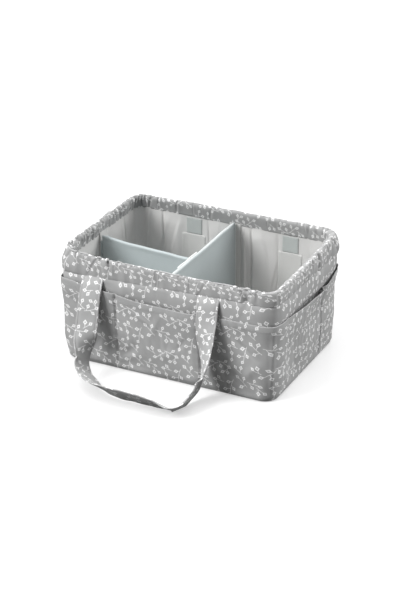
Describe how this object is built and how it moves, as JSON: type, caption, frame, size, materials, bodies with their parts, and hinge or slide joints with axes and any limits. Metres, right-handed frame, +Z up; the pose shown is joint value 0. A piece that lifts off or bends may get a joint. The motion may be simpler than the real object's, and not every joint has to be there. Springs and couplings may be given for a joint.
{
  "type": "diaper caddy",
  "caption": "Soft fabric diaper caddy: a stiffened rectangular basket with a gathered rim, outer pockets, strap handles and lift-out padded dividers.",
  "frame": {"origin": "middle of the base, on the surface that the caddy stands on", "axes": "+Z up, X along the caddy's length, the front with the off-centre handle towards -Y"},
  "size_m": [0.381, 0.4766, 0.19],
  "materials": {
    "printed_cotton": "matte woven cotton, grey with white leaf sprigs",
    "lining": "smooth light grey polyester",
    "divider_cloth": "smooth pale blue-grey satin",
    "foam_board": "foam board",
    "elastic": "woven elastic",
    "hook_loop_tape": "brushed tape"
  },
  "bodies": {
    "basket": {"base_cover": "printed_cotton", "base_board": "foam_board", "base_lining": "lining", "front_panel": "printed_cotton", "front_board": "foam_board", "front_lining": "lining", "front_pocket": "printed_cotton", "right_panel": "printed_cotton", "right_board": "foam_board", "right_lining": "lining", "right_pocket": "printed_cotton", "back_panel": "printed_cotton", "back_board": "foam_board", "back_lining": "lining", "back_pocket": "printed_cotton", "left_panel": "printed_cotton", "left_board": "foam_board", "left_lining": "lining", "left_pocket": "printed_cotton", "rim_casing": "printed_cotton", "rim_elastic": "elastic", "front_handle_left_tab": "printed_cotton", "front_handle_right_tab": "printed_cotton", "back_handle_left_tab": "printed_cotton", "back_handle_right_tab": "printed_cotton", "main_divider_front_loop": "hook_loop_tape", "main_divider_back_loop": "hook_loop_tape", "cross_divider_left_loop": "hook_loop_tape", "back_left_loop_strip": "hook_loop_tape", "back_left_closure_tab": "divider_cloth", "back_right_loop_strip": "hook_loop_tape", "back_right_closure_tab": "divider_cloth"},
    "front_handle": {"front_handle_strap": "printed_cotton"},
    "back_handle": {"back_handle_strap": "printed_cotton"},
    "main_divider": {"main_divider_cover": "divider_cloth", "main_divider_board": "foam_board", "main_divider_front_hook": "hook_loop_tape", "main_divider_back_hook": "hook_loop_tape"},
    "cross_divider": {"cross_divider_cover": "divider_cloth", "cross_divider_board": "foam_board", "cross_divider_left_flap": "divider_cloth", "cross_divider_main_flap": "divider_cloth"}
  },
  "joints": [
    {"name": "front_handle_swing", "type": "hinge", "parent": "basket", "child": "front_handle", "pos_m": [0, -0.1343, 0.156], "axis": [-1, 0, 0], "range_deg": [0, 140]},
    {"name": "back_handle_swing", "type": "hinge", "parent": "basket", "child": "back_handle", "pos_m": [0, 0.1343, 0.156], "axis": [1, 0, 0], "range_deg": [0, 140]},
    {"name": "main_divider_lift", "type": "slide", "parent": "basket", "child": "main_divider", "axis": [0, 0, 1], "range_m": [0, 0.195]},
    {"name": "cross_divider_lift", "type": "slide", "parent": "basket", "child": "cross_divider", "axis": [0, 0, 1], "range_m": [0, 0.195]}
  ]
}
